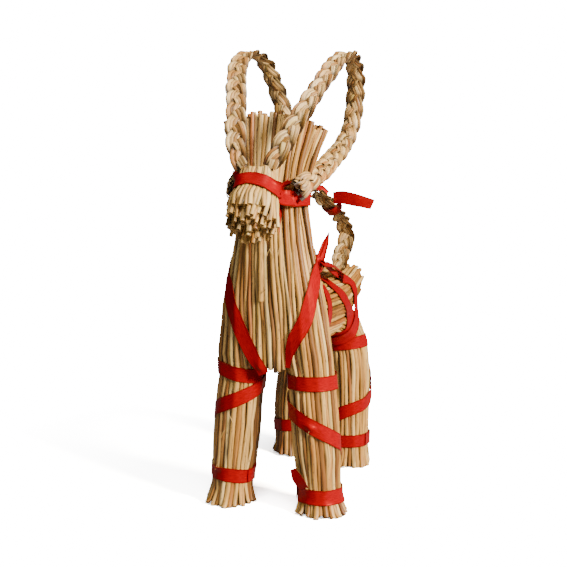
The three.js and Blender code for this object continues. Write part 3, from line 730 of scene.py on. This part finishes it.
class Ribbon:
    """One length of ribbon, as rows of points across it."""

    LANES = np.linspace(-0.5, 0.5, 11)
    CLEARANCE = 0.45              # from the straws' ridges to the ribbon
    SINK = 1.5                    # how far below the smooth skin it may dip
    SEARCH = 12.0                 # straws are looked for from this far outside the skin
    TIGHTENINGS = 60              # rounds of pulling it taut
    FAR_OUT = 150.0               # outside every bundle
    LAYER_WAY = 4.0               # a change of one layer counts as this much way
    NARROWING = 22.0              # over this length the width changes at an end
    FACE_BLUR = 5                 # rows to each side over which the facing is averaged

    def __init__(self):
        self.rows = []

    def drape(self, stops, aim, straws, arm, radius, ends=(1, 1), taut=0):
        """Lays ribbon over straws, on the smooth skin aim that the rays of arm meet. stops are
        (turn in degrees, place along the axis, layer), ends the shares of its width that show at
        its two ends, and taut the number of rows over which it spans a hollow."""
        per_degree = math.radians(1) * radius
        points = [(s[0] * per_degree, s[1], (s[2] if len(s) > 2 else 0) * self.LAYER_WAY)
                  for s in stops]
        route = smooth_route(points)
        count = int(route[1][-1] / RIBBON_STEP)
        laid = along_route(route, np.linspace(0, route[1][-1], count))
        starts, outs, faces, reach = [], [], [], []
        for turn, along, _ in laid:
            start, out = arm(turn / per_degree, along)
            hit = aim.ray_cast(Vector(start + out * self.FAR_OUT), Vector(-out), self.FAR_OUT)
            starts.append(start)
            outs.append(out)
            faces.append(hit[1])
            reach.append([self.FAR_OUT - hit[3]])
        if taut:
            padded = np.pad(reach, ((taut, taut), (0, 0)), mode="edge")
            spans = [padded[i:i + count] for i in range(2 * taut + 1)]
            reach = blurred(np.max(spans, axis=0), taut)
        centres = np.array(starts) + np.array(outs) * reach
        faces = unit(blurred(np.array(faces), self.FACE_BLUR))
        far = np.linspace(0, route[1][-1], count)
        shares = (1 - (1 - ends[0]) * (1 - smooth_step(far, 0, self.NARROWING))
                  - (1 - ends[1]) * (1 - smooth_step(far[-1] - far, 0, self.NARROWING)))
        self.cover(centres, faces, straws, laid[:, 2] / self.LAYER_WAY, shares)

    def cover(self, centres, faces, straws, layers, shares):
        """Sets the ribbon's height over the straws, taut along its length and across it."""
        heading = unit(np.gradient(centres, axis=0))
        faces = unit(faces - heading * (faces * heading).sum(1, keepdims=True))
        across = np.cross(faces, heading)
        lanes = shares[:, None] * self.LANES * RIBBON_WIDTH
        flat = centres[:, None] + across[:, None] * lanes[:, :, None]
        under = np.zeros(flat.shape[:2])
        for i, row in enumerate(flat):
            for j, point in enumerate(row):
                start = Vector(point + faces[i] * self.SEARCH)
                hits = [tree.ray_cast(start, Vector(-faces[i]), 1.5 * self.SEARCH)
                        for tree in straws]
                reach = [self.SEARCH - hit[3] for hit in hits if hit[0] is not None]
                under[i, j] = max(reach + [-self.SINK])
        height = under.copy()
        for _ in range(self.TIGHTENINGS):
            # Straight between the ridges that it touches.
            spots = flat + faces[:, None] * height[:, :, None]
            chord = (spots[:-2] + spots[2:]) / 2
            height[1:-1] = ((chord - flat[1:-1]) * faces[1:-1, None]).sum(2)
            height[:, 1:-1] = 0.5 * height[:, 1:-1] + 0.25 * (height[:, :-2] + height[:, 2:])
            height = np.maximum(height, under)
        height = height + self.CLEARANCE + (LAYER * layers)[:, None]
        self.rows += list(flat + faces[:, None] * height[:, :, None])

    def free(self, points, faces, widths, pleats=0.0):
        """A length that hangs or stands free. widths are shares of the ribbon's width, and
        pleats folds it lengthwise by so many millimetres."""
        route = smooth_route(points)
        spots = np.linspace(0, 1, max(int(route[1][-1] / RIBBON_STEP), 4))
        centres = along_route(route, spots * route[1][-1])
        given = np.linspace(0, 1, len(points))
        faces = np.array([[np.interp(s, given, np.array(faces)[:, k]) for k in range(3)]
                          for s in spots])
        heading = unit(np.gradient(centres, axis=0))
        faces = unit(faces - heading * (faces * heading).sum(1, keepdims=True))
        across = np.cross(faces, heading)
        width = np.interp(spots, given, widths)
        fold = pleats * np.cos(self.LANES * 4 * math.pi)
        for c, a, f, w in zip(centres, across, faces, width):
            self.rows.append(c + a * (self.LANES * RIBBON_WIDTH * w)[:, None] + f * fold[:, None])

    def piece(self, name, cad_node, extra=()):
        mesh = bpy.data.meshes.new(name)
        bm = bmesh.new()
        for ribbon in (self, *extra):
            ribbon.weave(bm)
        bm.to_mesh(mesh)
        bm.free()
        return finished(name, mesh, cad_node, SATIN, 60)

    def weave(self, bm):
        """Adds the ribbon to bm as a grid with its own thickness and flat coordinates."""
        rows = to_row(np.array(self.rows))
        count, lanes = rows.shape[:2]
        before, faces_before = len(bm.verts), len(bm.faces)
        bmesh.ops.create_grid(bm, x_segments=lanes - 1, y_segments=count - 1, size=1)
        bm.verts.ensure_lookup_table()
        bm.faces.ensure_lookup_table()
        fresh, faces = bm.verts[before:], bm.faces[faces_before:]
        far = np.concatenate([[0], np.cumsum(np.linalg.norm(
            np.diff(rows[:, lanes // 2], axis=0), axis=1))]) / MM
        spot = {}
        for v in fresh:
            j = round((v.co.x + 1) / 2 * (lanes - 1))
            i = round((v.co.y + 1) / 2 * (count - 1))
            spot[v] = (far[i], self.LANES[j] * RIBBON_WIDTH)
            v.co = rows[i, j]
        cloth = bm.loops.layers.uv.get("ribbon") or bm.loops.layers.uv.new("ribbon")
        for face in faces:
            for loop in face.loops:
                loop[cloth].uv = spot[loop.vert]
        bmesh.ops.recalc_face_normals(bm, faces=faces)
        bmesh.ops.solidify(bm, geom=faces, thickness=RIBBON_THICKNESS * MM)


def blurred(values, reach):
    """Each value averaged with its neighbours."""
    padded = np.pad(values, ((reach, reach), (0, 0)), mode="edge")
    return sum(padded[i:i + len(values)] for i in range(2 * reach + 1)) / (2 * reach + 1)


def upright(middle_at, side=1):
    """Turns round an upright bundle: -90 looks to the front, 0 to +X for side 1, to -X for -1."""
    def arm(turn, height):
        angle = math.radians(turn)
        out = np.array([side * math.cos(angle), math.sin(angle), 0])
        return np.array(middle_at(height), float), out
    return arm


def barrel_arm(turn, along):
    """Turns round the barrel: 0 looks up, 90 to the goat's left."""
    angle = math.radians(turn)
    out = np.array([math.sin(angle), 0, math.cos(angle)])
    return np.array([0, along, BARREL_HEIGHT]), out


LEG_RIBBON_RADIUS = 16.5


def leg_ribbon(stations, side, straws, knee, high, low, ankle, dip, lean=0.0):
    """A turn below the knee, a slanting turn from high to low and a turn at the ankle. The turn
    at the knee is higher on the outside by lean, and the one at the ankle tips by dip."""
    heights = [s[0][2] for s in stations]

    def middle_at(height):
        return [np.interp(height, heights, [s[0][axis] for s in stations]) for axis in range(3)]

    stops = [
        (-360, knee + lean), (-270, knee), (-180, knee - lean), (-90, knee),
        (-40, knee + lean, 0.5), (0, knee + lean, 1), (90, knee - 1, 1), (165, high, 1.3),
        (270, (high + low) / 2, 0.6),
        (360, low, 0), (450, (low + ankle) / 2), (540, ankle + dip), (630, ankle),
        (720, ankle - dip, 0.6), (810, ankle, 0.8), (875, ankle + 0.8 * dip, 1),
        (925, ankle + dip, 1.2),
    ]
    ribbon = Ribbon()
    ribbon.drape(stops, hull_tree(stations), straws, upright(middle_at, side), LEG_RIBBON_RADIUS)
    return ribbon


# ---- the goat ------------------------------------------------------------------------------------
front = front_bundle()
front.piece("front_straws", "front_bundle", "straw", LOOSE_STRAW)
rear = rear_bundle()
rear.piece("rear_straws", "rear_bundle", "straw", LOOSE_STRAW)
muzzle = muzzle_bundle()
muzzle.piece("muzzle_straws", "muzzle_bundle", "straw", LOOSE_STRAW)

for name, route, roll, seed in (("horn_right", HORN_RIGHT, HORN_ROLL, 41),
                                ("horn_left", HORN_LEFT, -HORN_ROLL, 43)):
    horn = Straws(seed)
    plait(horn, route, FLAT, roll, 0.4)
    horn.piece(name + "_plait", name, "plaited_straw", PLAITED_STRAW)
tail = Straws(47)
plait(tail, TAIL, FLAT_TAIL, 0, 0.1)
tail.piece("tail_plait", "tail_braid", "plaited_straw", PLAITED_STRAW)

front_tree = front.tree()
rear_tree = rear.tree()
muzzle_tree = muzzle.tree()
skin = [((0, 0, CROTCH - 2), 44.2, 17.4, 0)] + TRUNK
chest_aim = hull_tree(skin)
head_aim = hull_tree(skin, MUZZLE)
barrel_aim = hull_tree(BARREL, hind_leg(HIND_LEFT_FOOT, 1), hind_leg(HIND_RIGHT_FOOT, -1))
chest_arm = upright(lambda height: (0, 0, height))

leg_ribbon(front_leg(-1), -1, [front_tree], 96.5, 89, 64, 23.5, -1.5, 3.2).piece(
    "front_right_leg_band", "front_right_leg_ribbon")
loose = Ribbon()
loose.free([(27.5, -13, 19), (24.5, -15.5, 24), (21.5, -16, 29), (19.5, -15.5, 33)],
           [(-0.3, -1, 0.1)] * 4, [0.6, 0.85, 0.8, 0.4])
leg_ribbon(front_leg(1), 1, [front_tree], 92.5, 81, 50, 14.5, 0.3).piece(
    "front_left_leg_band", "front_left_leg_ribbon", [loose])
leg_ribbon(hind_leg(HIND_RIGHT_FOOT, -1), -1, [rear_tree], 101, 95, 76, 27, 2).piece(
    "hind_right_leg_band", "hind_right_leg_ribbon")
leg_ribbon(hind_leg(HIND_LEFT_FOOT, 1), -1, [rear_tree], 101, 60, 32, 22, 1, -2).piece(
    "hind_left_leg_band", "hind_left_leg_ribbon")

head = Ribbon()
head.drape([
    (-20, 218), (-42, 217.5, 2.2), (-54, 217.5, 3.4), (-62, 219, 2.4), (-70, 223, 1.2),
    (-81, 227.5, 0.4), (-95, 229), (-108, 227.5, 0.6), (-120, 224.5, 2), (-132, 222, 3),
    (-148, 220.5, 1.6), (-180, 219.5), (-215, 219, 0.4), (-270, 218, 0.4),
    (-315, 217.5, 0.6), (-345, 217.5, 1.2), (-385, 217, 2.2), (-405, 216, 3.6),
], head_aim, [front_tree, muzzle_tree], chest_arm, 26)
head.piece("head_band", "head_ribbon")

harness = Ribbon()
harness.drape([
    (-94, 97.5), (-99, 101), (-111, 107), (-128, 121), (-141, 139), (-152, 157), (-172, 171),
    (-205, 176), (-245, 176), (-270, 176), (-300, 176), (-335, 177), (-362, 170), (-381, 151),
    (-390, 136), (-401, 121), (-406, 109), (-407, 103),
], chest_aim, [front_tree], chest_arm, 30, (0.75, 0.35))
end = Ribbon()
end.free([KNOT + (-1, -2, -4), KNOT + (0.5, 1, 3), KNOT + (2.6, 4, 12), KNOT + (4.6, 8, 21)],
         [(0.5, -1, 0.2)] * 4, [0.6, 0.62, 0.5, 0.06], 0.5)
lace = Ribbon()
lace.free([KNOT + (0, 2, 0), KNOT + (-0.5, 14, -2), KNOT + (1.5, 26, -8), KNOT + (4, 33, -12)],
          [(0.6, -0.5, 0.6)] * 4, [0.5, 0.62, 0.62, 0.4], 0.7)
knot = Ribbon()
knot_turns = np.linspace(0.4, 6.6, 9)
knot.free([KNOT + (1.5 * math.cos(a) * 1.6, 3.4 * math.cos(a), -1 + 4.6 * math.sin(a))
           for a in knot_turns],
          [(0.5 + 0.4 * math.cos(a), math.cos(a) - 0.6, math.sin(a)) for a in knot_turns],
          [0.7] * 9, 0.4)
harness.piece("harness", "harness_ribbon", [end, lace, knot])

barrel = Ribbon()
barrel.drape([
    (50, 37), (90, 37), (180, 36), (270, 36), (335, 38, 0.4), (372, 43, 1), (396, 50, 1),
    (410, 56, 0.5), (431, 70), (444, 79), (459, 88), (472, 95), (488, 97, 0.5), (510, 91),
    (540, 87), (580, 84), (620, 77), (660, 66), (690, 57, 0.4), (722, 47, 1.2),
], barrel_aim, [rear_tree], barrel_arm, 29)
barrel.piece("barrel_band", "barrel_ribbon")

rump = Ribbon()
rump.free([KNOT + (3, -2, -1), KNOT + (5, 8.5, -2), KNOT + (1.5, 30, -5), KNOT + (-1, 52, -9)],
          [(0.62, 0, 0.78)] * 4, [0.5, 0.7, 0.9, 1])
rump.drape([
    (47, 86, 0.5), (57, 99, 0.5), (70, 102, 0.5), (85, 104, 0.4), (99, 104, 0.6),
    (112, 103, 1.2), (126, 101, 1.6), (141, 97.5, 2), (160, 95, 2.2), (180, 93, 2.2),
    (205, 96, 1.5), (228, 106, 0.5), (248, 111, 0.5), (261, 110), (275, 108), (290, 104),
    (304, 99), (320, 90), (340, 79), (356, 70), (372, 61, 0.6),
], barrel_aim, [rear_tree], barrel_arm, 29, taut=3)
rump.piece("rump_band", "rump_ribbon")

TAIL_TIE = np.array([10.4, 103, 210.2])
axis = unit(np.array([-0.3, -0.8, 0.45]))
tie_side = unit(np.array([1.0, 0, 0]) - axis * axis[0])
tie_top = np.cross(axis, tie_side)
turns = [math.radians(200 + 25 * i) for i in range(21)]
tail_tie = Ribbon()
tail_tie.free(
    [TAIL_TIE + tie_side * (6.6 + i * 0.045) * math.cos(a) + tie_top * (5 + i * 0.045) * math.sin(a)
     for i, a in enumerate(turns)],
    [tie_side * math.cos(a) / 6 + tie_top * math.sin(a) / 5 for a in turns], [0.8] * 21)
loose_end = Ribbon()
loose_end.free([(13, 97, 217), (20, 95.5, 217.5), (30, 94.5, 215.8), (38, 93.5, 214),
                (46, 92.5, 212)],
               [(0.2, -0.9, 0.15)] * 3 + [(0.2, -0.85, 0.4)] * 2, [0.9, 1, 1, 0.95, 0.85])
tuck = Ribbon()
tuck.free([(-8, 97, 219), (-3.5, 95, 223.5), (2.5, 95, 224.5), (8, 98, 220)],
          [(-0.1, -0.8, 0.5)] * 4, [0.5, 0.6, 0.6, 0.5], 0.3)
tail_tie.piece("tail_band", "tail_ribbon", [loose_end, tuck])

# ---- floor, light and camera ---------------------------------------------------------------------
VIEW_AZIMUTH = math.radians(20)
VIEW_PITCH = math.radians(5.57)
LIGHTS_AIM = Vector((0, 0, 0.14))


def paper_floor():
    """A seamless sweep of matt white paper."""
    bm = bmesh.new()
    bmesh.ops.create_grid(bm, x_segments=1, y_segments=1, size=6)
    mesh = bpy.data.meshes.new("paper_floor")
    bm.to_mesh(mesh)
    bm.free()
    material, shader = new_material("matt_white_paper")
    shader.inputs["Base Color"].default_value = linear("#8c8c8c")
    shader.inputs["Roughness"].default_value = 0.9
    # Seen directly the sweep is overexposed: only the darkest of a shadow stays. The goat gets
    # the light of the plain grey paper.
    seen = node(material, "LightPath")
    bright = node(material, "BsdfDiffuse")
    bright.inputs["Color"].default_value = (16, 16, 16, 1)
    # Seen directly the paper also glows: painted light, from strength 1 near the middle to 20
    # beyond 0.6 m, so that it fades into the white backdrop.
    place = node(material, "TexCoord").outputs["Object"]
    away = node(material, "VectorMath", {0: place}, operation="LENGTH").outputs["Value"]
    glow = node(material, "MapRange", {"Value": away}, From_Min=0.12, From_Max=0.6, To_Min=1,
                To_Max=20)
    lit = node(material, "Emission", {"Strength": glow.outputs[0]})
    both = node(material, "AddShader", {0: bright.outputs[0], 1: lit.outputs[0]})
    either = node(material, "MixShader", {0: seen.outputs["Is Camera Ray"],
                                          1: shader.outputs[0], 2: both.outputs[0]})
    surface = material.node_tree.nodes["Material Output"].inputs["Surface"]
    material.node_tree.links.new(either.outputs[0], surface)
    mesh.materials.append(material)
    floor = bpy.data.objects.new("paper_floor", mesh)
    bpy.context.scene.collection.objects.link(floor)


def soft_light(name, place, size, power, color="#ffffff"):
    data = bpy.data.lights.new(name, "AREA")
    data.size = size
    data.energy = power
    data.color = linear(color)[:3]
    light = bpy.data.objects.new(name, data)
    light.location = place
    light.rotation_euler = (LIGHTS_AIM - Vector(place)).to_track_quat("-Z", "Y").to_euler()
    bpy.context.scene.collection.objects.link(light)


def studio():
    paper_floor()
    world = bpy.data.worlds.new("studio")
    world.use_nodes = True
    nodes, links = world.node_tree.nodes, world.node_tree.links
    # The backdrop is a lit white wall; what reaches the goat from it is dimmer.
    wall = nodes.new("ShaderNodeBackground")
    wall.inputs["Strength"].default_value = 24
    seen = nodes.new("ShaderNodeLightPath")
    either = nodes.new("ShaderNodeMixShader")
    nodes["Background"].inputs["Color"].default_value = (1, 1, 1, 1)
    nodes["Background"].inputs["Strength"].default_value = 0.05
    links.new(seen.outputs["Is Camera Ray"], either.inputs[0])
    links.new(nodes["Background"].outputs[0], either.inputs[1])
    links.new(wall.outputs[0], either.inputs[2])
    links.new(either.outputs[0], nodes["World Output"].inputs[0])
    bpy.context.scene.world = world
    soft_light("window_right", (0.98, -0.42, 0.62), 0.24, 41, "#fff3e2")
    soft_light("overhead", (0.15, -0.5, 1.15), 0.4, 10)

    camera = bpy.data.objects.new("camera", bpy.data.cameras.new("camera"))
    camera.data.lens = 58.29
    camera.data.sensor_width = 36
    camera.location = (0.2229, -0.6427, 0.22)
    camera.rotation_euler = (math.pi / 2 - VIEW_PITCH, 0, VIEW_AZIMUTH)
    bpy.context.scene.collection.objects.link(camera)
    bpy.context.scene.camera = camera


studio()
